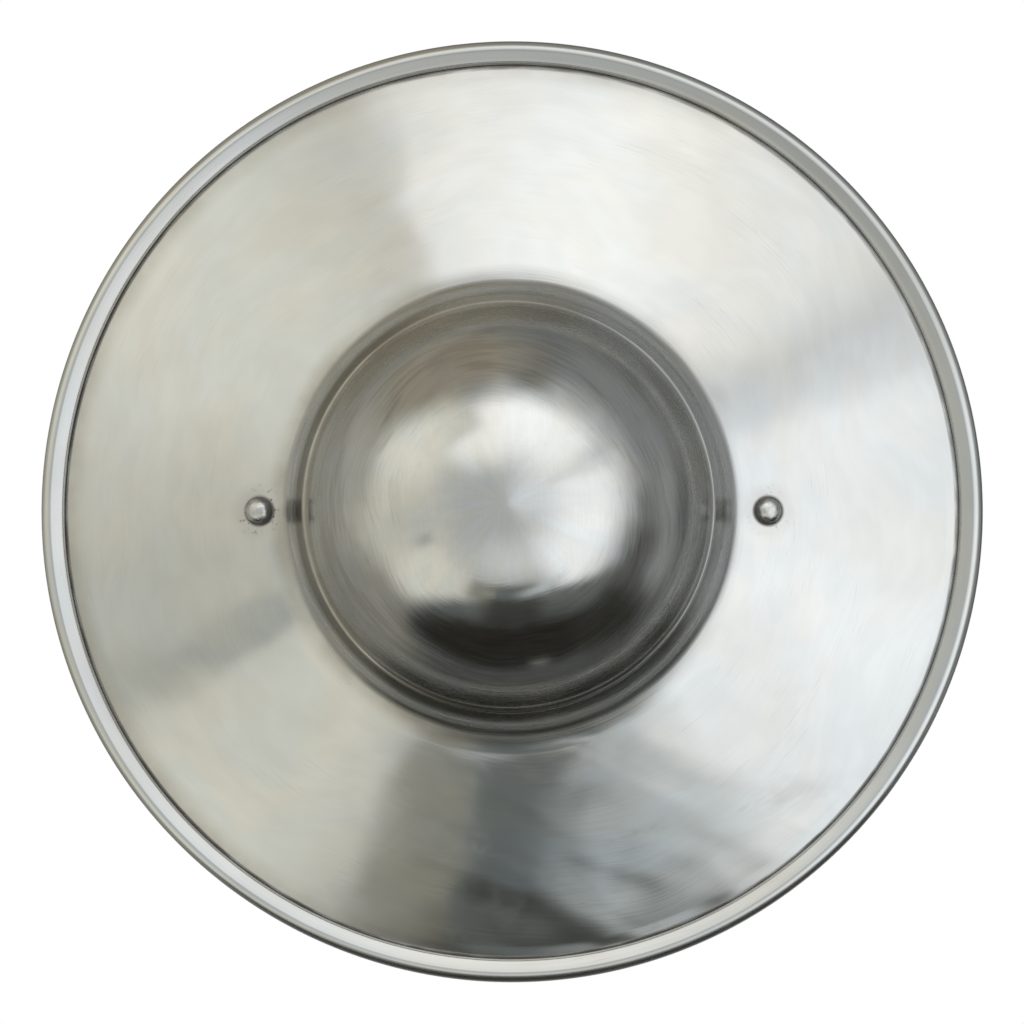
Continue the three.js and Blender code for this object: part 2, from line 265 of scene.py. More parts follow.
def finish(name, metallic, base, roughness, bumps, seen_as=None, specular=0.5):
    """A new material. base, roughness and the heights in bumps are functions of its coordinates.

    Where seen_as is given, it turns the coordinates into what these functions take.
    """
    material, wire = new_material(name)
    shader = wire.tree.nodes["Principled BSDF"]
    place = wire.node("ShaderNodeTexCoord", out="Object")
    at = seen_as(place) if seen_as else place
    for socket, value in (("Base Color", base), ("Roughness", roughness), ("Metallic", metallic)):
        wire.fill(shader.inputs[socket], value(at) if callable(value) else value)
    normal = None
    for height, distance in bumps:
        sockets = {"Height": height(at), "Distance": distance}
        if normal is not None:
            sockets["Normal"] = normal
        normal = wire.node("ShaderNodeBump", sockets)
    wire.fill(shader.inputs["Normal"], normal)
    shader.inputs["Specular IOR Level"].default_value = specular
    print("finish", name, "with", len(wire.tree.nodes), "nodes")
    return material


# %% [markdown]
# ## A tree that spins a profile
#
# A sheet that is spun on a lathe, a rivet head and a washer are all a section turned round an axis.
# They could be drawn with the Screw modifier, but a Geometry Nodes tree keeps the number of sides,
# the lean and the place as named inputs, so one tree makes them all. It lays a grid with one column
# for each side, reads each point's place in the section, turns it round the Y axis, and merges the
# seam and the poles.

# %% The spin tree
def shape_tree(name, inputs):
    """A Geometry Nodes tree with named inputs. Gives a Wire on it, and each input as a Wire."""
    tree = bpy.data.node_groups.new(name, "GeometryNodeTree")
    sockets = [("Geometry", "INPUT", "Geometry")]
    sockets += [(label, "INPUT", kind) for label, kind in inputs.items()]
    sockets += [("Geometry", "OUTPUT", "Geometry")]
    for label, way, kind in sockets:
        tree.interface.new_socket(label, in_out=way, socket_type="NodeSocket" + kind)
    entry = tree.nodes.new("NodeGroupInput")
    return Wire(tree), {socket.name: Wire(tree, socket) for socket in entry.outputs}


def close_tree(wire, result, material):
    """Ends a tree: instances are made real, the finish is set, and the result goes out."""
    real = wire.node("GeometryNodeRealizeInstances", {0: result})
    dressed = wire.node("GeometryNodeSetMaterial", {"Geometry": real, "Material": material})
    leave = wire.tree.nodes.new("NodeGroupOutput")
    wire.fill(leave.inputs[0], dressed)
    return wire.tree


def spin_tree():
    merge_distance = 1e-6
    wire, given = shape_tree("spin_a_profile", {
        "Sides": "Int", "Lean": "Vector", "Place": "Vector", "Finish": "Material",
    })
    section = given["Geometry"]
    count = wire.node("GeometryNodeAttributeDomainSize", {0: section}, "Point Count")
    sockets = {"Vertices X": given["Sides"] + 1, "Vertices Y": count}
    grid = wire.node("GeometryNodeMeshGrid", sockets)
    index = wire.node("GeometryNodeInputIndex")
    here = wire.node("GeometryNodeInputPosition")
    sockets = {"Geometry": section, "Value": here, "Index": index % count}
    options = {"data_type": "FLOAT_VECTOR", "domain": "POINT"}
    drawn = wire.node("GeometryNodeSampleIndex", sockets, **options)
    column = (index / count).maths("FLOOR")
    sockets = {"Vector": drawn, "Angle": column * (2 * math.pi) / given["Sides"]}
    turned = wire.node("ShaderNodeVectorRotate", sockets, rotation_type="Y_AXIS")
    spun = wire.node("GeometryNodeSetPosition", {"Geometry": grid, "Position": turned})
    sockets = {"Geometry": spun, "Distance": merge_distance}
    closed = wire.node("GeometryNodeMergeByDistance", sockets)
    sockets = {"Geometry": closed, "Translation": given["Place"], "Rotation": given["Lean"]}
    placed = wire.node("GeometryNodeTransform", sockets)
    return close_tree(wire, placed, given["Finish"])


def piece_of(name, mesh, smooth_below=35):
    """Links a mesh as an object at the origin, with its normals outwards and its corners sharp."""
    work = bmesh.new()
    work.from_mesh(mesh)
    bmesh.ops.recalc_face_normals(work, faces=work.faces)
    for edge in work.edges:
        edge.smooth = edge.calc_face_angle(0) < math.radians(smooth_below)
    for face in work.faces:
        face.smooth = True
    volume = work.calc_volume(signed=True)
    if volume < 0:
        bmesh.ops.reverse_faces(work, faces=work.faces)
    work.to_mesh(mesh)
    open_edges = sum(edge.is_boundary for edge in work.edges)
    work.free()
    triangles = sum(len(polygon.vertices) - 2 for polygon in mesh.polygons)
    cm3 = round(abs(volume) * 1e6, 2)
    print(name, triangles, "triangles,", open_edges, "open edges,", cm3, "cm3")
    return added(name, mesh)


def grown(name, seed_mesh, tree, values):
    """Runs a shape tree on a seed mesh and gives the piece that it makes."""
    seed = added("seed", seed_mesh)
    modifier = seed.modifiers.new("shape", "NODES")
    modifier.node_group = tree
    for socket in tree.interface.items_tree:
        if socket.in_out == "INPUT" and socket.name in values:
            modifier[socket.identifier] = values[socket.name]
    depsgraph = bpy.context.evaluated_depsgraph_get()
    mesh = bpy.data.meshes.new_from_object(seed.evaluated_get(depsgraph))
    mesh.name = name
    seed.modifiers.remove(modifier)
    bpy.data.objects.remove(seed)
    return piece_of(name, mesh)


def mesh_of(name, points, edges=(), faces=()):
    mesh = bpy.data.meshes.new(name)
    mesh.from_pydata([tuple(point) for point in points], edges, faces)
    return mesh


def line_mesh(name, points):
    """A mesh that holds only a line of points, as a section or a path for a shape tree."""
    return mesh_of(name, points, edges=[(i, i + 1) for i in range(len(points) - 1)])


def dress(thing, slot, *nodes, material=None):
    """Puts a finished piece on the shield's one body, in place of the nodes it stands for."""
    if material is not None:
        thing.data.materials.clear()
        thing.data.materials.append(material)
    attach(thing, "root")
    if nodes:
        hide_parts(*nodes)


SPIN = spin_tree()

# %% [markdown]
# ## The section of the sheet
#
# A bent sheet keeps its thickness, so only one face of its section is drawn: straight runs that
# meet in corners, each rounded by its bend radius. The other face is the same path, one thickness
# away. Long runs get extra points, because even rings shade more evenly than very long faces.

# %% Rounded path and sheet outline
def rounded_path(corners, longest=6 * MM):
    """Points of a path, each with the way from the drawn face to the other one."""
    path = []
    for i, (at, radius, steps) in enumerate(corners):
        if i in (0, len(corners) - 1):
            other = corners[1][0] if i == 0 else corners[i - 1][0]
            run = (other - at if i == 0 else at - other).normalized()
            path.append((at.copy(), Vector((run.y, -run.x))))
            continue
        way_in = (at - corners[i - 1][0]).normalized()
        way_out = (corners[i + 1][0] - at).normalized()
        turn = math.atan2(way_in.x * way_out.y - way_in.y * way_out.x, way_in.dot(way_out))
        start = at - way_in * radius * math.tan(abs(turn) / 2)
        left = Vector((-way_in.y, way_in.x))
        centre = start + left * math.copysign(radius, turn)
        for step in range(steps + 1):
            spin = Matrix.Rotation(turn * step / steps, 2)
            run = spin @ way_in
            path.append((centre + spin @ (start - centre), Vector((run.y, -run.x))))
    dense = [path[0]]
    for place, back_way in path[1:]:
        before, before_way = dense[-1]
        straight = (back_way - before_way).length < 1e-4
        cuts = math.ceil((place - before).length / longest) if straight else 1
        for cut in range(1, cuts):
            dense.append((before.lerp(place, cut / cuts), back_way))
        dense.append((place, back_way))
    return dense


def climbed(height, *runs):
    """The height at the inner end of sloping runs, each with its outer and inner radius."""
    for outer, inner, slope in runs:
        height = height + (outer - inner) * math.tan(slope)
    return height


def sheet_section():
    """The two faces of the section. The step at the boss has the spinner's wide, soft bends."""
    crown = climbed(
        plate_height(foot_radius),
        (foot_radius, knee_radius, skirt_slope),
        (knee_radius, shoulder_radius, wall_slope),
        (shoulder_radius, ledge_inner_radius, ledge_slope),
        (ledge_inner_radius, dome_radius * math.tan(dome_base_slope / 2), dome_base_slope),
    )
    soft_foot = plate_height(soft_foot_radius)
    soft_knee = climbed(soft_foot, (soft_foot_radius, soft_knee_radius, skirt_slope))
    lip = climbed(soft_knee, (soft_knee_radius, lip_radius, soft_wall_slope))
    crown_corner = dome_radius * math.tan(soft_dome_slope / 2)
    steep, flat = math.tan(soft_dome_slope), math.tan(soft_ledge_slope)
    hollow_radius = (crown - lip + crown_corner * steep - lip_radius * flat) / (steep - flat)
    hollow = lip + (lip_radius - hollow_radius) * flat
    curl_x, curl_top = curl_centre.x + curl_inside, curl_centre.y + curl_inside
    crease_x = curl_centre.x - roll_bend * math.tan(roll_flat_slope / 2)
    bend_x = roll_wall_radius + sheet
    bend = curl_top - (crease_x - bend_x) * math.tan(roll_flat_slope)
    cut_edge = plate_height(roll_wall_radius) + cut_edge_gap
    # Each corner has its radius and height, the radius of its bend, and its number of steps.
    corners = [
        (0, crown, 0, 1),
        (crown_corner, crown, dome_radius, 44),
        (hollow_radius, hollow, 5.0 * MM, 9),
        (lip_radius, lip, 1.8 * MM, 7),
        (soft_knee_radius, soft_knee, 14 * MM, 5),
        (soft_foot_radius, soft_foot, 8 * MM, 9),
        (curl_x, plate_height(curl_x), curl_inside, 12),
        (curl_x, curl_top, curl_inside, 8),
        (crease_x, curl_top, roll_bend, 3),
        (bend_x, bend, 0.3 * MM, 5),
        (bend_x, cut_edge, 0, 1),
    ]
    path = rounded_path([(Vector((x, y)), radius, steps) for x, y, radius, steps in corners])
    front = [place for place, back_way in path]
    rear = [place + back_way * sheet for place, back_way in path]
    return front, rear


front_line, rear_line = sheet_section()
section_points = [standing(p.x, 0, p.y) for p in front_line + rear_line[::-1]]
section_points[0].x = section_points[-1].x = 0
print(len(section_points), "points in the section of the sheet")

# %% [markdown]
# ## Polished steel
#
# Steel that was spun and then polished on the lathe keeps fine marks that run round the axis. They
# make streaks in its reflections, and they spread a reflection outwards and inwards more than
# sideways. An anisotropic shader could do this, but its direction comes from the Z axis, and this
# shield's axis is Y. So the marks are made as noise that is long round the axis and short across
# it, and they go into a bump. The colour and the roughness take a little of the same noise, with
# smudges and faint scratches. The colour also has painted shade: partly dirt in the crease under
# the rolled edge and round the rivets, brown and mostly on the left, and on the top of the rolled
# edge. The lip of the step has a painted highlight on its upper right.

# %% Places on the shield, for its finishes
class OnShield:
    """A point of the sheet: its radius, the parts of its way round, its place along the section."""

    def __init__(self, place):
        self.place = place
        self.x, y, self.z = place.parts()
        never_zero = 1e-6
        self.r = (self.x * self.x + self.z * self.z) ** 0.5 + never_zero
        self.across, self.up = self.x / self.r, self.z / self.r
        self.along = self.r + y * 0.4
        self.inside = place.node("ShaderNodeAttribute", out="Fac", attribute_name="inner_side")

    def marks(self, reach, fineness, shift=0.0, sway=0.0):
        """Noise in streaks: reach is how many of them go round, fineness how many to a metre.

        A hand that polishes strays from the circle. With sway, in metres, the streaks stray too.
        """
        along = self.along
        if sway:
            free = self.r.mm_ramp(88, 100).high(self.r.mm_ramp(72, 58))
            free = free * self.r.mm_ramp(170, 164)
            along = along + (self.place.cloud(13, 1, 0.4) - 0.5) * free * sway
        streak = self.place.vector(self.across * reach + shift, self.up * reach, along * fineness)
        return streak.cloud(detail=1.5, roughness=0.6)


def from_rivet(at):
    """Distance from the nearer rivet's axis, seen from the front."""
    away = [(at.x - spot, at.z + grip_drop) for side, spot in rivet_places]
    left, right = [(a * a + b * b) ** 0.5 for a, b in away]
    return left.low(right)


def crease_shade_and_grime(at):
    """Painted shade, partly dirt, in the crease under the rolled edge and round the rivets."""
    wider = (at.up * 0.8 + at.across * 0.5).ramp(-0.4, 0.9, 0.0, 0.8 * MM)
    crease = (at.r + wider).ramp(roll_wall_radius - 1.5 * MM, roll_wall_radius - 0.5 * MM)
    past = at.r.ramp(roll_wall_radius + 0.2 * MM, roll_wall_radius - 0.4 * MM)
    patchy = at.marks(14, 500).ramp(0.3, 0.62, 0.35, 1.0)
    low_left = (at.up + at.across * 0.6).ramp(0.3, -0.7, 0.62, 0.95)
    round_rivet = from_rivet(at).mm_ramp(6.5, 5.1, 0.0, 0.85)
    return (crease * past * patchy * low_left).high(round_rivet)


def brown_painted_shade(at):
    """Brown painted shade, mostly on the left: by the crease, the foot, the rivets and the step."""
    cloudy = at.place.cloud(45, 3, 0.6).ramp(0.3, 0.7, 0.45, 1.0)
    by_crease = at.r.ring(161, 171, 171.5, 172.5) * (at.up * 0.4 - at.across).ramp(-0.9, 0.6)
    outside = at.r.ramp(foot_radius + 8 * MM, foot_radius + 1 * MM)
    outside = outside * at.r.ramp(foot_radius - 3 * MM, foot_radius)
    at_foot = outside * (at.up * 0.6 + at.across).ramp(0.9, -0.4)
    at_rivet = from_rivet(at).mm_ramp(13, 5, 0.0, 0.5)
    left_dark = (at.across + at.up * 0.25).ramp(-1.0, -0.1, 0.35, 0.8)
    hollow = at.r.ring(63, 71, 75, 77) * left_dark
    on_step = at.r.mm_near(77, 1.5, 3)
    on_step = on_step * (at.across + at.up * 0.3).ramp(0.3, -0.5, 0.0, 1.5)
    return by_crease.high(at_foot).high(at_rivet).high(on_step).high(hollow) * cloudy


def rim_top_painted_shade(at):
    """Painted shade on the top of the rolled edge."""
    return at.r.ring(172, 173.5, 177, 178) * (at.up * 0.9 + at.across * 0.3).ramp(0.2, 1.0)


def on_boss(at):
    """1 on the sides of the boss, where the marks of polishing show most, and 0 on the plate."""
    lip = at.r.mm_near(78.3, 0.7, 0.8)
    return at.r.ring(30, 50, 84, 90) * (1 - lip)


def lip_painted_light(at):
    """The lip of the step: a painted highlight on its upper right, and painted shade on its left.
    """
    lip = at.r.mm_near(78.3, 0.8, 0.9)
    # The upper right side, which gets the painted highlight.
    polished = (at.across + at.up * 0.9).ramp(0.1, 0.9)
    return lip * polished, lip * (at.across + at.up * 0.35).ramp(0.1, -0.6)


def strokes(at):
    """Fine upright strokes of the last rub with a cloth, on the crown of the boss."""
    streak = at.place.vector(at.x * 1100 + at.z * 90, 2.0, at.z * 60).cloud(1, 2, 0.6)
    return (streak.ramp(0.3, 0.7) - 0.5) * at.r.mm_ramp(52, 36)


def specks(at):
    """Small dark specks that the peening left in the polish round the rivets."""
    around = from_rivet(at).mm_ramp(11.5, 5.5) * at.x.mm_ramp(-50, 50, 1.0, 0.35)
    fine = at.place.cloud(760, 3, 0.6).ramp(0.555, 0.655)
    return fine * around * at.place.cloud(190, 1).ramp(0.38, 0.58)


def smudges(at):
    """Cloudy patches that handling leaves, mostly low on the right."""
    cloudy = at.place.cloud(30, 4, 0.62, 0.8).ramp(0.5, 0.7)
    lower_right = (at.across - at.up * 1.4).ramp(0.2, 1.5, 0.25, 1.0)
    return cloudy * lower_right * at.r.mm_ramp(80, 96, 0.3, 1.0)


def scratches(at):
    """Thin, faint arcs, here and there."""
    return at.marks(1.3, 640, 7.0).near(0.5, 0.003, 0.005) * at.marks(3, 30, 3.0).ramp(0.5, 0.62)


# %% Polished steel
def steel_colour(at):
    streaks = at.marks(3.5, 1100, sway=0.04).ramp(0.3, 0.7) - 0.5
    mottled = at.marks(7, 110, 21.0, 0.06).ramp(0.32, 0.68) - 0.5
    broad_shade = at.place.cloud(14, 3, 0.6).ramp(0.35, 0.75) * 0.7 + 0.15 + mottled * 0.4
    shade = broad_shade + streaks * (on_boss(at) * 0.4 + 0.1) + strokes(at) * 0.25
    cool = shade.between((0.694, 0.709, 0.712), (0.768, 0.785, 0.79))
    warm = shade.between((0.712, 0.708, 0.684), (0.788, 0.784, 0.758))
    clean = at.marks(3, 30, 15.0, 0.07).ramp(0.36, 0.64).between(cool, warm)
    broad = at.marks(1.8, 130, 9.0, 0.03) * 0.6
    arcs = (broad + at.marks(3, 700, 12.0, 0.03) * 0.4).ramp(0.47, 0.62)
    lip_painted_highlight, lip_painted_shade = lip_painted_light(at)
    front = clean
    for cover, tint in (
        (arcs * on_boss(at) * 0.45, (0.44, 0.44, 0.425)),
        # Painted shade on the top of the rolled edge.
        (rim_top_painted_shade(at) * 0.75, (0.53, 0.535, 0.525)),
        (scratches(at) * 0.2, (0.5, 0.5, 0.48)),
        # Brown painted shade, mostly on the left.
        (brown_painted_shade(at) * 0.75, (0.46, 0.44, 0.39)),
        # A painted highlight on the lip's upper right, then painted shade on its left.
        (lip_painted_highlight * 0.8, (0.9, 0.9, 0.89)),
        (lip_painted_shade * 0.75, (0.34, 0.335, 0.31)),
    ):
        front = cover.between(front, tint)
    dull = at.marks(5, 700, 2.0).ramp(0.3, 0.7).between((0.44, 0.43, 0.41), (0.56, 0.555, 0.54))
    # Painted shade in the crease and round the rivets, partly dirt, together with the specks.
    shade_and_dirt = (crease_shade_and_grime(at) * 0.85).high(specks(at) * 0.8)
    return shade_and_dirt.between(at.inside.between(front, dull), (0.06, 0.047, 0.035))


def steel_roughness(at):
    fine = at.marks(4, 900, 4.0, 0.03).ramp(0.3, 0.7) - 0.5
    at_step = at.r.ring(50, 72, 85, 90) * 0.1 + at.r.mm_near(83, 2, 3) * 0.07
    at_edge = at.r.mm_ramp(171, 174) * 0.05 + at.r.mm_ramp(176.5, 178.5) * 0.12
    front = fine * (on_boss(at) * 0.07 + 0.015) + 0.125
    for more in (smudges(at) * 0.07, scratches(at) * 0.05, brown_painted_shade(at) * 0.05, at_step, at_edge):
        front = front + more
    inside = at.place.cloud(30, 3, 0.6).ramp(0.3, 0.75, 0.27, 0.4)
    return front * (1 - at.inside) + inside * at.inside + crease_shade_and_grime(at) * 0.3


def steel_metal(at):
    return 1 - crease_shade_and_grime(at) * 0.6


def turning(at):
    """Fine marks. They fade where all the circles would meet, and the plate has the fewest."""
    fine = at.marks(4, 1900, 1.0, 0.04) * 0.5 + at.marks(2.5, 800, 5.0, 0.05) * 0.5
    on_crown = at.r.mm_ramp(4, 16) * at.r.mm_ramp(40, 58, 0.55, 1.0)
    on_plate = at.r.mm_ramp(86, 96, 1.0, 0.28)
    depth = on_crown * on_plate.high(at.r.mm_ramp(168, 172, 0.0, 0.5))
    return (fine - 0.5) * (depth + at.inside * 2) + at.place.cloud(900, 2, 0.5) * 0.06


def waviness(at):
    """Slow waves left by the hammer, and slanting ones where the bottom was polished hard."""
    on_plate = at.r.ring(84, 96, 166, 171)
    slow = (at.place.cloud(16, 2, 0.5) - 0.5) * (on_plate * 1.1 + 0.7)
    slanting = at.place.vector(at.x * 13 - at.z * 4, 3.0, at.x * 16 + at.z * 44)
    bottom = (at.across * 0.35 - at.up).ramp(0.78, 0.98, 0.12, 1.0)
    return slow + (slanting.cloud(1, 0.5, 0.5, 0.3) - 0.5) * bottom * on_plate * 0.9


def settled_foot(at):
    """The plate dips a little more steeply close to the boss."""
    return at.r.ramp(foot_radius - 6 * MM, foot_radius + 7.5 * MM, 1.0, 0.0) * (1 - at.inside)


polished_steel = finish(
    "polished_steel", steel_metal, steel_colour, steel_roughness,
    bumps=[(waviness, 0.6 * MM), (settled_foot, 0.68 * MM), (turning, 0.022 * MM)],
    seen_as=OnShield,
)

# %% [markdown]
# ## The face plate
#
# The section goes through the spin tree with 360 sides, so that the rim is round at any size of
# picture. The sheet is one body with no hole at the rivets, because the heads and the bar cover
# both sides there. An attribute marks the inner side, which a maker leaves duller.

# %% Face plate
face_plate = grown("face_plate_spun", line_mesh("sheet_section", section_points), SPIN, {
    "Sides": 360, "Finish": polished_steel,
})


def mark_inner_side(thing):
    """1 on the back of the sheet, and 0 on its face and on the rolled edge, which is polished."""
    values = []
    lines = [[(p.x, grip_height - p.y) for p in line] for line in (front_line, rear_line)]
    for vertex in thing.data.vertices:
        r, y = math.hypot(vertex.co.x, vertex.co.z), vertex.co.y
        front, rear = [min((r - a) ** 2 + (y - b) ** 2 for a, b in line) for line in lines]
        out_to_roll = min(1.0, max(0.0, (r - 168 * MM) / (6 * MM)))
        values.append(1.0 - out_to_roll if rear < front else 0.0)
    attribute = thing.data.attributes.new("inner_side", "FLOAT", "POINT")
    attribute.data.foreach_set("value", values)


mark_inner_side(face_plate)
dress(face_plate, "plate_steel", "face_plate")

# %% [markdown]
# ## Rivets and washers
#
# Each rivet is a round steel button whose shank goes through the sheet, the bar and a washer, and
# is hammered over at the back. A real head isn't a perfect dome: it was struck a few times. The
# tree spins it round its axis and leans it square to the plate, and a bump makes the dents.

# %% Rivet and washer sections
def rivet_section():
    """Half of the rivet's section, along its own axis, from the end of the tail to the crown."""
    washer_back = bar_front_depth + bar_thickness + 2 * cad_gap + washer_thickness
    tail = washer_back + cad_gap
    head, head_height, bead, peened = 5.25 * MM, 4.05 * MM, 0.07, 4.8 * MM
    points = [(0, -tail - 2.2 * MM), (1.2 * MM, -tail - 2.18 * MM), (2.4 * MM, -tail - 2.05 * MM)]
    for i in range(7):
        turn = math.radians(i * 15)
        r = peened - 1.6 * MM * (1 - math.sin(turn))
        points.append((r, -tail - 0.5 * MM - 1.3 * MM * math.cos(turn)))
    points += [
        (peened, -washer_back), (rivet_radius, -washer_back + 0.2 * MM), (rivet_radius, 0.1 * MM),
        (head - 0.25 * MM, -0.05 * MM), (head, 0.25 * MM),
    ]
    for i in range(1, 19):
        turn = math.radians(i * 5)
        bulge = 0.93 + bead * math.sin(turn)
        r = head * math.cos(turn) * bulge + head * bead * (1 - i / 18)
        points.append((r, 0.5 * MM + head_height * math.sin(turn)))
    points[-1] = (0, points[-1][1])
    return points


def washer_section():
    front = bar_front_depth + bar_thickness + 0.05 * MM
    back = front + washer_thickness
    inner, outer, chamfer = rivet_radius + 0.15 * MM, 7.5 * MM, 0.3 * MM
    return [
        (inner, -back + chamfer), (inner + chamfer, -back), (outer - chamfer, -back),
        (outer, -back + chamfer), (outer, -front - chamfer), (outer - chamfer, -front),
        (inner + chamfer, -front), (inner, -front - chamfer), (inner, -back + chamfer),
    ]


def button_steel(name, light, dark, rough, dent, shade_reach):
    """Steel of a small struck part: polished on its crown; painted shade and dirt where it meets
    the plate.
    """
    def from_axis(place):
        """Distance from the nearer rivet's own leaning axis."""
        gaps = []
        for side, x in rivet_places:
            away = place.vector_maths("SUBTRACT", tuple(rivet_foot(x)))
            axis = (side * math.sin(plate_slope), -math.cos(plate_slope), 0)
            out = away.vector_maths("DOT_PRODUCT", axis, out="Value")
            length = away.vector_maths("LENGTH", out="Value")
            gaps.append((length * length - out * out).high(0.0) ** 0.5)
        return gaps[0].low(gaps[1])

    # Painted shade, partly dirt: a ragged dark ring on the head's outer edge, where it meets the
    # plate.
    def ring_shade_and_grime(place):
        ragged = (place.cloud(420, 2) - 0.5) * 1.6 * MM
        return (from_axis(place) + ragged).ramp(shade_reach - 0.7 * MM, shade_reach + 0.5 * MM)

    def colour(place):
        clean = place.cloud(420, 3, 0.6).ramp(0.3, 0.7).between(light, dark)
        # The painted shade and dirt darken the ring.
        return (ring_shade_and_grime(place) * 0.85).between(clean, (0.04, 0.033, 0.025))

    def roughness(place):
        return place.cloud(600, 2).ramp(0.3, 0.7, rough, rough + 0.12) + ring_shade_and_grime(place) * 0.3

    return finish(
        name, lambda place: 1 - ring_shade_and_grime(place) * 0.6, colour, roughness,
        bumps=[
            (lambda place: place.cloud(330, 1, 0.4), dent),
            (lambda place: place.cloud(2600, 2, 0.6), 0.02 * MM),
        ],
    )


# %% Rivets and washers
struck_parts = {
    "rivet": (rivet_section(), button_steel(
        "rivet_steel", (0.76, 0.76, 0.74), (0.6, 0.6, 0.58), 0.16, 0.25 * MM, 4.3 * MM)),
    "rove": (washer_section(), button_steel(
        "washer_steel", (0.42, 0.415, 0.4), (0.3, 0.29, 0.27), 0.32, 0.1 * MM, 7.4 * MM)),
}
for (side, x), hand in zip(rivet_places, ("left", "right")):
    lean = (0.0, 0.0, side * plate_slope)
    for kind, (section, metal) in struck_parts.items():
        line = line_mesh(kind + "_section", [(r, -out, 0) for r, out in section])
        part = grown(f"{kind}_{hand}_turned", line, SPIN, {
            "Sides": 56, "Lean": lean, "Place": tuple(rivet_foot(x)), "Finish": metal,
        })
        dress(part, kind + "_steel", f"{kind}_{hand}")

# %% [markdown]
# ## The grip bar
#
# The bar is a strip of flat steel. The smith left its middle straight, spread its two ends into
# round pads, and bent them back so that they lie along the cone. A cube with a Bevel modifier
# can't follow the bend, so the bar is built as rings: its outline from the front is drawn at
# several depths, smaller at both faces for the filed edge, and laid on the bent line.

# %% Bar outline and bend
def bar_half_width(x):
    """Half of the bar's width at a place along it, with its round ends and the necks by them."""
    end_x = min(abs(x - spot) for side, spot in rivet_places)
    outside = abs(x - pair_offset) > rivet_distance
    neck_y = bar_width / 2 + bar_neck_radius
    neck_x = math.sqrt((bar_end_radius + bar_neck_radius) ** 2 - neck_y ** 2)
    meet_x = neck_x * bar_end_radius / (bar_end_radius + bar_neck_radius)
    if outside or end_x <= meet_x:
        return math.sqrt(max(0.0, bar_end_radius ** 2 - end_x ** 2))
    if end_x < neck_x:
        return neck_y - math.sqrt(bar_neck_radius ** 2 - (neck_x - end_x) ** 2)
    return bar_width / 2


def bar_stations(runs=56):
    """Places along the bar, close together at its round ends."""
    first, last = rivet_places[0][1] - bar_end_radius, rivet_places[1][1] + bar_end_radius
    near_ends = [bar_end_radius * (1 - math.cos(math.radians(a))) for a in range(0, 91, 6)]
    inner = near_ends[-1]
    middle = [first + inner + (last - first - 2 * inner) * i / runs for i in range(1, runs)]
    return [first + d for d in near_ends] + middle + [last - d for d in reversed(near_ends)]


def bar_surface(x, depth):
    """Where the point lies that is seen at x from the front and is depth inside the bar.

    The lean depends on the place along the bar and the place on the lean, so both are found again
    a few times.
    """
    bend, rounds = 6 * MM, 4
    tangent = bend * math.tan(plate_slope / 2)
    place = abs(x)
    for attempt in range(rounds):
        inside = place - (bar_bend_x - tangent)
        if inside <= 0:
            lean = 0.0
        elif inside < tangent + tangent * math.cos(plate_slope):
            lean = math.asin(min(math.sin(plate_slope), inside / bend))
        else:
            lean = plate_slope
        place = abs(x) + depth * math.sin(lean)
    if inside <= 0:
        drop = 0.0
    elif lean < plate_slope:
        drop = bend * (1 - math.cos(lean))
    else:
        drop = (place - bar_bend_x) * math.tan(plate_slope)
    return bar_front_height - drop - depth * math.cos(lean)


def bar_rings():
    stations = bar_stations()
    upper = [Vector((x, bar_half_width(x))) for x in stations]
    ways = [Vector((-1, 0))]
    for before, after in zip(upper, upper[2:]):
        run = after - before
        ways.append(Vector((-run.y, run.x)).normalized())
    ways.append(Vector((1, 0)))
    file_radius, margin, wobble_size, wobble_rate = 0.45 * MM, 0.1 * MM, 0.18 * MM, 90
    levels = []
    for i in range(5):
        turn = math.radians(22.5 * i)
        levels.append((file_radius * (1 - math.sin(turn)), file_radius * (1 - math.cos(turn))))
    levels += [(inset, bar_thickness - depth) for inset, depth in reversed(levels)]
    rings = []
    for inset, depth in levels:
        line = []
        for point, way in zip(upper, ways):
            wobble = noise.noise(Vector((point.x * wobble_rate, 3.1, 0))) * wobble_size
            place = point - way * (inset + margin + (wobble if way.y else 0))
            line.append((place.x, max(0.0, place.y)))
        ring = line + [(x, -y) for x, y in line[-2:0:-1]]
        rings.append([standing(x, y - grip_drop, bar_surface(x, depth)) for x, y in ring])
    return rings, len(stations)


def skinned(name, rings, closed=False, caps=(), smooth_below=35):
    """A piece with a skin over rings of points. Caps are places in the first and last ring."""
    count = len(rings[0])
    faces = []
    for i in range(len(rings) if closed else len(rings) - 1):
        this, following = i * count, (i + 1) % len(rings) * count
        for j in range(count):
            k = (j + 1) % count
            faces.append((this + j, this + k, following + k, following + j))
    for start in (0, (len(rings) - 1) * count):
        faces += [tuple(start + place for place in face) for face in caps]
    points = [point for ring in rings for point in ring]
    return piece_of(name, mesh_of(name, points, faces=faces), smooth_below)


def strip_caps(stations):
    """Faces across a long flat ring, from each upper point to the lower one opposite."""
    count = 2 * stations - 2
    pairs = [(i, i + 1, count - i - 1, count - i) for i in range(1, stations - 2)]
    return [(0, 1, count - 1), *pairs, (stations - 2, stations - 1, stations)]


# %% Forged steel
def bar_scale(place):
    """Where the dark scale of the fire is left: in the hollows, away from the filed edges."""
    return (place.cloud(45, 5, 0.68, 0.4) + place.cloud(260, 2) * 0.35).ramp(0.56, 0.8)


def bar_colour(place):
    drawn = place.stretched(14, 160, 160).cloud(3, 3)
    bright = drawn.between((0.34, 0.335, 0.325), (0.24, 0.235, 0.225))
    scale = place.cloud(120, 2).between((0.075, 0.07, 0.066), (0.11, 0.085, 0.06))
    return bar_scale(place).between(bright, scale)


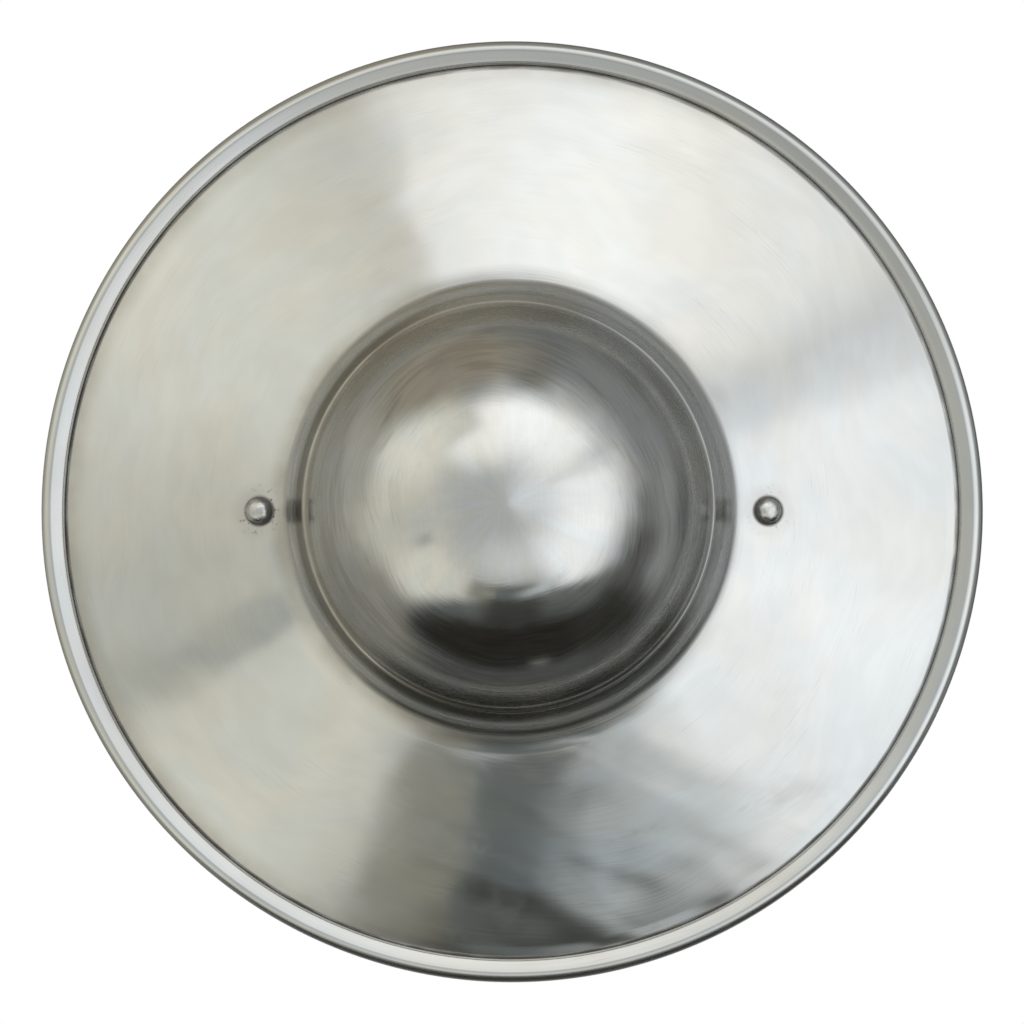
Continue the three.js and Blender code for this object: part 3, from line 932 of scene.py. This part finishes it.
def bar_roughness(place):
    drawn = place.stretched(20, 220, 220).cloud(3, 2)
    return bar_scale(place) * 0.22 + drawn.ramp(0.3, 0.7, 0.3, 0.42)


forged_steel = finish(
    "forged_steel", lambda place: 1 - bar_scale(place) * 0.35, bar_colour, bar_roughness,
    bumps=[
        (lambda place: place.cloud(75, 1, 0.4), 0.5 * MM),
        (lambda place: place.stretched(30, 900, 900).cloud(1, 2), 0.03 * MM),
        (bar_scale, 0.04 * MM),
    ],
)

# %% Bar
rings, stations = bar_rings()
bar = skinned("grip_bar_forged", rings, caps=strip_caps(stations))
dress(bar, "bar_steel", "grip_bar", material=forged_steel)

# %% [markdown]
# ## The wooden scales
#
# Two halves of ash are let in round the bar and held by two pins. Only their ends show past the
# leather. Each is a loft of sections along the grip: half an oval, with the rebate for the bar.

# %% Grip shape
grip_middle, grip_end, flatness = 15.5 * MM, 13 * MM, 0.78


def grip_radius(along):
    """Radius of the wood at a distance along the grip from its middle."""
    share = abs(along) * 2 / grip_length
    return grip_end + (grip_middle - grip_end) * math.cos(share * math.pi / 2)


def round_grip(along, angle, radius):
    """A point round the grip: along it from its middle, at an angle from the top to the back."""
    return Vector((
        pair_offset + along,
        radius * math.sin(angle) * flatness,
        radius * math.cos(angle) - grip_drop,
    ))


def scale_rings(back):
    half, round_off = grip_length / 2, 2 * MM
    seam, bar_room, bar_depth = 0.1 * MM, bar_width / 2 + 0.15 * MM, bar_thickness / 2
    turns = [math.radians(a) for a in range(0, 91, 15)]
    ends = [(round_off * (1 - math.cos(a)), round_off * (1 - math.sin(a))) for a in turns]
    stations = [(-half + inner, inset) for inner, inset in ends]
    run = grip_length - 2 * round_off
    stations += [(-half + round_off + run * i / 20, 0.0) for i in range(1, 20)]
    stations += [(-along, inset) for along, inset in reversed(stations[:7])]
    rings = []
    for along, inset in stations:
        radius = grip_radius(along) - inset
        lowest = math.asin(seam / (radius * flatness))
        angles = [lowest + (math.pi - 2 * lowest) * i / 24 for i in range(25)]
        ring = [round_grip(along, angle, radius) for angle in angles]
        for side, depth in ((-1, seam), (-1, bar_depth), (1, bar_depth), (1, seam)):
            ring.append(Vector((pair_offset + along, depth, side * bar_room - grip_drop)))
        rings.append([Vector((p.x, p.y * back, p.z)) for p in ring])
    return rings


# %% Oiled ash
def ash_rings(place):
    bent = place.stretched(9, 150, 150).cloud(1.5, 2, 0.5) * 0.9
    y, z = place.parts()[1:]
    spread = ((y + 0.05) * (y + 0.05) + (z - 0.03) * (z - 0.03)) ** 0.5
    return (spread * 420 + bent * 2.2).maths("FRACT")


def ash_pores(place):
    return place.stretched(120, 2600, 2600).cloud(1, 2)


def ash_colour(place):
    growth = ash_rings(place).ramp(0.0, 0.75).between((0.50, 0.335, 0.185), (0.33, 0.2, 0.1))
    handled = place.cloud(60, 3).ramp(0.4, 0.75)
    oiled = (handled * 0.5).between(growth, (0.22, 0.13, 0.065))
    return (ash_pores(place).ramp(0.62, 0.72) * 0.6).between(oiled, (0.12, 0.07, 0.035))


oiled_ash = finish(
    "oiled_ash", 0.0, ash_colour,
    lambda place: place.stretched(30, 600, 600).cloud(1, 2).ramp(0.3, 0.7, 0.36, 0.52),
    bumps=[(lambda place: ash_pores(place) * -1, 0.06 * MM), (ash_rings, 0.03 * MM)],
    specular=0.45,
)

# %% Scales
for kind, back_side in (("front", -1), ("rear", 1)):
    rings = scale_rings(back_side)
    scale = skinned(f"grip_scale_{kind}_shaped", rings, caps=[tuple(range(len(rings[0])))])
    dress(scale, "grip_wood", "grip_scale_" + kind, material=oiled_ash)

# %% [markdown]
# ## The leather sleeve
#
# A strip of leather is soaked, wrapped round the wood and sewn edge to edge, so it dries tight. It
# shows as a butt seam with a row of stitches, low on the palm side, shallow creases that run round
# the grip where the hand closes, and ends that are cut square and burnished. The sleeve is a mesh
# of rings round the grip, moved in and out by these rules. The fine grain is left to the bump.

# %% Sleeve
seam_angle = math.radians(128)
stitch_pitch = 5.2 * MM
sleeve_half = grip_length / 2 - leather_inset
sleeve_top = cad_gap + leather_thickness


def on_grip(along, angle, out):
    """A point of the sleeve, out from the wood."""
    return round_grip(along, angle, grip_radius(along) + out)


def sleeve_offset(along, angle):
    """How far the leather's outside moves out or in from its plain shape."""
    def bell(gap, width):
        return math.exp(-(gap / width) ** 2)

    gap = grip_middle * abs((angle - seam_angle + math.pi) % (2 * math.pi) - math.pi)
    groove = -0.75 * MM * bell(gap, 0.45 * MM)
    lifted = 0.32 * MM * bell(gap - 1.6 * MM, 1.2 * MM)
    pulled = 0.5 - 0.5 * math.cos(2 * math.pi * along / stitch_pitch)
    pull = -0.22 * MM * pulled * bell(gap - 2.4 * MM, 1.1 * MM)
    here = Vector((along * 45, math.cos(angle) * 1.6, math.sin(angle) * 1.6 + 9))
    return groove + lifted + pull + 0.3 * MM * noise.noise(here) - 0.1 * MM


def sleeve_rings(around=240, along_count=150):
    inner, lip = 0.12 * MM, 0.7 * MM
    outer = sleeve_top - 0.25 * MM
    turns = [math.radians(a) for a in (30, 60, 90)]
    rings = []
    for i in range(around):
        angle = 2 * math.pi * i / around
        places = [(2 * j / along_count - 1) * (sleeve_half - lip) for j in range(along_count + 1)]
        line = [(along, outer + sleeve_offset(along, angle)) for along in places]
        end_out = outer + sleeve_offset(sleeve_half, angle)
        corner = [
            (sleeve_half - lip + lip * math.sin(a), end_out - lip * (1 - math.cos(a)))
            for a in turns
        ]
        line += corner
        line += [(sleeve_half * (1 - 2 * j / 20), inner) for j in range(21)]
        line += [(-along, out) for along, out in reversed(corner)]
        rings.append([on_grip(along, angle, out) for along, out in line])
    return rings


# %% Waxed leather
def leather_grain(place):
    """Small pebbles, 1 on their tops and 0 between them."""
    sockets = {"Vector": place, "Scale": 620.0, "Randomness": 1.0}
    cells = place.node("ShaderNodeTexVoronoi", sockets, "Distance", feature="DISTANCE_TO_EDGE")
    return cells.ramp(0.0, 0.3)


def from_middle(place):
    """Distance along the grip from its middle."""
    return abs(place.parts()[0] - pair_offset)


def leather_creases(place):
    """Short wrinkles across the grip, where the hand folds the leather. 1 in their bottoms."""
    wrinkles = place.stretched(230, 75, 75).cloud(1, 3, 0.6, 1.2).near(0.5, 0.0, 0.045)
    some = place.cloud(42, 2).ramp(0.44, 0.6)
    return wrinkles * some * from_middle(place).mm_ramp(50, 34)


def seam_gap(place):
    """Distance from the seam, round the grip."""
    y, z = place.parts()[1:]
    turn = (y / flatness).maths("ARCTAN2", z + grip_drop)
    return abs(turn - seam_angle) * grip_middle


def palm_wear(place):
    middle = from_middle(place).mm_ramp(48, 12)
    return middle * place.cloud(70, 4, 0.6).ramp(0.35, 0.7)


def leather_colour(place):
    cloudy = place.cloud(55, 4, 0.6).ramp(0.3, 0.75)
    hide = cloudy.between((0.088, 0.043, 0.023), (0.15, 0.077, 0.041))
    worn = (palm_wear(place) * 0.6).between(hide, (0.225, 0.122, 0.068))
    pits = ((1 - leather_grain(place)) * 0.5).high(leather_creases(place) * 0.8)
    grained = pits.between(worn, (0.04, 0.021, 0.013))
    ends = from_middle(place).ramp(sleeve_half - 1.6 * MM, sleeve_half - 0.3 * MM)
    dark = ends.high(seam_gap(place).mm_ramp(1.1, 0.3))
    return (dark * 0.8).between(grained, (0.035, 0.02, 0.013))


waxed_leather = finish(
    "waxed_leather", 0.0, leather_colour,
    lambda place: place.cloud(160, 3).ramp(0.3, 0.7, 0.42, 0.6) - palm_wear(place) * 0.12,
    bumps=[
        (lambda place: place.cloud(110, 3, 0.5), 0.3 * MM),
        (lambda place: leather_creases(place) * -1, 0.22 * MM),
        (leather_grain, 0.12 * MM),
    ],
)

sleeve = skinned("grip_leather_sewn", sleeve_rings(), closed=True, smooth_below=50)
dress(sleeve, "grip_leather", "grip_leather", material=waxed_leather)

# %% [markdown]
# ## The stitches
#
# The two edges are drawn together with waxed linen thread, in slanting stitches that cross the
# seam. They repeat along a path, so Geometry Nodes lay them: the seam's line is resampled to one
# point for each stitch, and a small bent thread is placed on each, turned to lie on the leather.

# %% Stitch tree
def stitch_tree():
    wire, given = shape_tree("stitch_along_a_seam", {
        "Pitch": "Float", "Reach": "Float", "Thread": "Float", "Rise": "Float",
        "Turn": "Vector", "Finish": "Material",
    })
    path = wire.node("GeometryNodeMeshToCurve", {0: given["Geometry"]})
    sockets = {"Curve": path, "Length": given["Pitch"]}
    spaced = wire.node("GeometryNodeResampleCurve", sockets, mode="LENGTH")
    half, slant = given["Reach"] * 0.5, 0.42
    bow = wire.node("GeometryNodeCurveQuadraticBezier", {
        "Resolution": 9,
        "Start": wire.vector(half * -slant, half * -1, given["Rise"] * -1),
        "Middle": wire.vector(0.0, 0.0, given["Rise"] * 1.5),
        "End": wire.vector(half * slant, half, given["Rise"] * -1),
    })
    sockets = {"Resolution": 7, "Radius": given["Thread"] * 0.5}
    round_thread = wire.node("GeometryNodeCurvePrimitiveCircle", sockets)
    sockets = {"Curve": bow, "Profile Curve": round_thread, "Fill Caps": True}
    stitch = wire.node("GeometryNodeCurveToMesh", sockets)
    sockets = {2: -0.09, 3: 0.09, "Seed": 11}
    uneven = wire.node("FunctionNodeRandomValue", sockets, 1, data_type="FLOAT")
    sockets = {"Rotation": given["Turn"], "Rotate By": wire.vector(0.0, 0.0, uneven)}
    turned = wire.node("FunctionNodeRotateRotation", sockets, rotation_space="LOCAL")
    sockets = {"Points": spaced, "Instance": stitch, "Rotation": turned}
    laid = wire.node("GeometryNodeInstanceOnPoints", sockets)
    return close_tree(wire, laid, given["Finish"])


# %% Waxed thread
def two_shades(scale, light, dark):
    """A colour that drifts between two shades, as a function of the place."""
    return lambda place: place.cloud(scale, 3).ramp(0.3, 0.7).between(light, dark)


waxed_thread = finish(
    "waxed_thread", 0.0,
    two_shades(900, (0.42, 0.34, 0.22), (0.27, 0.2, 0.12)),
    lambda place: place.cloud(1500, 2).ramp(0.3, 0.7, 0.5, 0.65),
    bumps=[(lambda place: place.stretched(2600, 500, 500).cloud(1, 2), 0.06 * MM)],
)

# %% Stitches
seam_half = sleeve_half - 3.2 * MM
seam_places = [seam_half * (2 * i / 40 - 1) for i in range(41)]
seam_points = [on_grip(along, seam_angle, sleeve_top - 0.12 * MM) for along in seam_places]
outward = Vector((0, math.sin(seam_angle) / flatness, math.cos(seam_angle))).normalized()
tilt = math.atan2(-outward.y, outward.z)
stitches = grown("grip_stitches", line_mesh("seam", seam_points), stitch_tree(), {
    "Pitch": stitch_pitch, "Reach": 5.4 * MM, "Thread": 0.95 * MM, "Rise": 0.75 * MM,
    "Turn": (tilt, 0.0, 0.0), "Finish": waxed_thread,
})
dress(stitches, "grip_leather")

# %% [markdown]
# ## The pieces that stay as modelled
#
# The wire in the rolled edge and the two grip pins hardly show. They keep their modelled shapes and
# get a plain drawn-steel finish.

# %% Drawn steel
drawn_steel = finish(
    "drawn_steel", 1.0,
    two_shades(200, (0.42, 0.415, 0.4), (0.3, 0.295, 0.28)),
    lambda place: place.cloud(500, 2).ramp(0.3, 0.7, 0.35, 0.5),
    bumps=[(lambda place: place.cloud(1500, 2), 0.02 * MM)],
)
for node in ("rim_wire", "grip_pin_left", "grip_pin_right"):
    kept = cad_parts[node]
    kept.data.materials.clear()
    kept.data.materials.append(drawn_steel)

# %% [markdown]
# ## The studio
#
# Polished steel has hardly a colour of its own: it shows the room. In a plain white room this
# shield would look like paper. So the room is drawn as a large dome of lights and cards that only
# reflections see. Each card has a place round the shield's axis, in degrees from the right, a place
# away from the axis, in degrees from the front, and soft edges. The dome adds no light to other
# surfaces. Those are lit by an even world and large soft lamps.

# %% The dome of cards
room_radius = 1.15
degrees = 180 / math.pi


def lit(red, green, blue):
    """The radiance at which clean steel shows this shade, given as a screen shows it, 0 to 255."""
    steel = 0.735
    linear = [((shade / 255 + 0.055) / 1.055) ** 2.4 for shade in (red, green, blue)]
    return tuple(value / steel for value in linear)


def room_shader():
    material, wire = new_material("room_of_cards")
    wire.tree.nodes.clear()
    place = wire.node("ShaderNodeTexCoord", out="Object")
    x, y, z = place.parts()
    from_front = (y * (-1 / room_radius)).maths("ARCCOSINE") * degrees
    turn = z.maths("ARCTAN2", x) * degrees
    uneven = (place.cloud(3.2, 3, 0.6) - 0.5) * 7

    def turned_from(middle):
        """Degrees round the axis from a middle, either way."""
        return (turn - middle).maths("PINGPONG", 180.0)

    def round_mask(middle, half, soft, soft_end=None):
        """1 within half of a middle, in degrees round the axis from the right, then falling."""
        if soft_end is None:
            return turned_from(middle).ramp(half + soft, half - soft)
        far = (turn - middle + 180) % 360.0 - 180
        return far.ramp(-half - soft, -half + soft) * far.ramp(half + soft_end, half - soft_end)

    def away_mask(first, last, soft, soft_end=None, ragged=0.0):
        """1 from first to last, in degrees from the front, with soft and ragged ends."""
        end = soft if soft_end is None else soft_end
        there = from_front + uneven * ragged if ragged else from_front
        return there.ramp(first - soft, first + soft) * there.ramp(last + end, last - end)

    def oval_mask(middle, centre, half_round, half_away, soft):
        gap = turned_from(middle) / half_round
        down = (from_front + uneven - centre) / half_away
        return ((gap * gap + down * down) ** 0.5).ramp(1 + soft, 1 - soft)

    room = round_mask(180, 60, 60).between(lit(92, 93, 91), lit(118, 116, 107))

    def card(shade, turned=None, away=None, oval=None):
        """Lays a card over the room, cut by the masks that are given."""
        nonlocal room
        cuts = ((oval_mask, oval), (round_mask, turned), (away_mask, away))
        masks = [cut(*sizes) for cut, sizes in cuts if sizes]
        mask = masks[0] * masks[1] if len(masks) > 1 else masks[0]
        room = mask.between(room, lit(*shade))

    # Behind the camera: a plain grey wall, lighter at the right.
    card((162, 164, 162), away=(-20, 60, 1, 25))
    card((190, 191, 189), (276, 34, 22), (20, 38, 9, 8))
    card((198, 202, 204), (20, 55, 50), (-20, 40, 1, 25))
    # Down the right and the top, under the lamps: shelves in mid grey, then darker.
    card((114, 116, 115), (38, 76, 20), (60, 103, 8, 8, 1))
    card((168, 169, 167), (48, 56, 14), (55, 73, 4, 11, 1))
    card((106, 104, 97), (80, 8, 8), (64, 100, 7, 10, 1))
    card((104, 106, 105), (2, 6, 6), (72, 84, 4, 8, 1))
    card((126, 128, 127), (354, 26, 12), (89, 103, 6, 5, 1))
    # The left wall, beige: its pale part, its shaded part, and darker and paler marks on it.
    card((187, 185, 174), (180, 66, 10), (36, 84, 16, 14))
    card((150, 148, 139), (150, 46, 14), (84, 110, 14, 14))
    card((126, 124, 116), (214, 14, 10), (78, 112, 10, 10))
    card((208, 207, 197), (144, 20, 14), (44, 76, 12, 10))
    card((174, 174, 165), (190, 10, 12), (34, 84, 12, 20))
    card((197, 196, 185), (222, 14, 8), (43, 74, 7, 10))
    card((147, 149, 142), (202, 3.6, 2.2), (43, 53, 4, 6))
    # The upper lamp and the right lamp, with a thin frame between them.
    card((228, 227, 221), (118, 22, 12), (27, 43, 12, 3))
    card((231, 231, 228), (73, 40, 12), (25, 59, 12, 8, 0.4))
    card((247, 247, 244), (80, 16, 16), (38, 55, 12, 5))
    card((228, 231, 232), (-17, 42, 14, 8), (25, 62, 12, 11, 0.4))
    card((238, 240, 240), (-14, 10, 14), (36, 54, 10, 6))
    card((204, 208, 211), (26, 2, 4.5), (43, 62, 6, 10))
    card((189, 187, 177), (114, 3.5, 5.5, 5), (46, 60, 4, 6))
    # Brown shelf ends between the upper lamp and the wall.
    card((131, 125, 111), oval=(117, 88, 32, 22, 0.45))
    # The table that the shield hangs over: a pale cloth's edge, then dark, with a small glint.
    card((64, 64, 62), (281, 44, 12), (74, 120, 14, 8))
    card((70, 73, 74), (0, 12, 12), (102, 128, 6, 6))
    card((132, 133, 130), (282, 50, 16), (122, 150, 6, 5))
    card((86, 89, 87), oval=(280, 79, 54, 30, 0.1), away=(30, 103, 4, 6))
    card((80, 80, 79), (338, 16, 9), (73, 88, 4, 8, 1))
    card((128, 127, 116), (252.5, 8, 4, 1.2), (43.5, 54, 3, 3))
    card((91, 97, 97), (274, 13, 1.2, 12), (43.6, 52, 2, 2))
    card((172, 178, 180), oval=(293, 47.8, 15, 2.1, 0.6))
    card((76, 78, 75), (270, 19, 10), (44.3, 45.9, 0.7, 0.9))
    card((76, 78, 75), (274, 12, 8), (42.8, 45, 0.5, 0.5))
    card((54, 55, 52), (273, 17, 8), (50.6, 66, 1.0, 4))
    card((36, 35, 31), oval=(272, 82, 46, 17, 0.3))
    card((44, 43, 39), (312, 14, 8), (74, 102, 7, 6, 1))
    card((150, 150, 148), (281, 2, 4), (93, 96, 2, 2))
    # Far behind the shield the room is white.
    card((226, 227, 225), away=(146, 200, 5))
    glow = wire.node("ShaderNodeEmission", {"Color": room, "Strength": 1.0})
    leave = wire.tree.nodes.new("ShaderNodeOutputMaterial")
    wire.fill(leave.inputs["Surface"], glow)
    material.cycles.emission_sampling = "NONE"
    return material


def staged(work, name, material, unseen_by):
    """A simple shape that belongs to the studio, and the kinds of rays that don't see it."""
    mesh = bpy.data.meshes.new(name)
    work.to_mesh(mesh)
    work.free()
    mesh.materials.append(material)
    thing = added(name, mesh)
    for kind in unseen_by:
        setattr(thing, "visible_" + kind, False)


work = bmesh.new()
bmesh.ops.create_icosphere(work, subdivisions=5, radius=room_radius)
bmesh.ops.reverse_faces(work, faces=work.faces)
unseen_by = ("camera", "diffuse", "transmission", "volume_scatter", "shadow")
staged(work, "room_of_cards", room_shader(), unseen_by)

# %% [markdown]
# ## Floor, world and lamps
#
# The floor lies a hand's breadth and more under the shield, which is held up by its grip. Seen by
# the camera, the floor and the world are the white of the background; the floor keeps some of its
# own shading there, so it still shows the shield's soft shadow.

# %% World
def ray(wire, kind):
    """1 for rays of this kind, else 0."""
    return wire.node("ShaderNodeLightPath", out=f"Is {kind} Ray")


def background(strength):
    world = bpy.data.worlds.new("white_studio")
    bpy.context.scene.world = world
    world.use_nodes = True
    wire = Wire(world.node_tree)
    seen = ray(wire, "Camera").high(ray(wire, "Glossy")).high(ray(wire, "Transmission"))
    sky = world.node_tree.nodes["Background"]
    wire.fill(sky.inputs["Color"], (1.0, 1.0, 1.0))
    wire.fill(sky.inputs["Strength"], seen.ramp(0, 1, strength, 1.0))


background(0.62)

# %% Floor
def floor_material():
    material, wire = new_material("pale_floor")
    paint = wire.tree.nodes["Principled BSDF"]
    for socket, value in (
        ("Base Color", (0.42, 0.42, 0.42)), ("Roughness", 0.9),
        ("Emission Color", (1, 1, 1)), ("Emission Strength", ray(wire, "Camera") * 0.6),
    ):
        wire.fill(paint.inputs[socket], value)
    return material


floor_size, floor_level = 1.9, Matrix.Translation((0, 0, -0.45))
work = bmesh.new()
bmesh.ops.create_grid(work, x_segments=1, y_segments=1, size=floor_size, matrix=floor_level)
staged(work, "floor", floor_material(), ("glossy",))

# %% Lamps
for name, place in (("soft_lamp", (-0.7, -0.9, 1.4)), ("rear_lamp", (-0.6, 1.2, 1.2))):
    lamp_data = bpy.data.lights.new(name, "AREA")
    lamp_data.shape, lamp_data.size, lamp_data.energy = "DISK", 1.1, 14
    lamp = added(name, lamp_data)
    lamp.location = place
    lamp.rotation_euler = (-lamp.location).to_track_quat("-Z", "Y").to_euler()
    lamp.visible_camera = lamp.visible_glossy = False
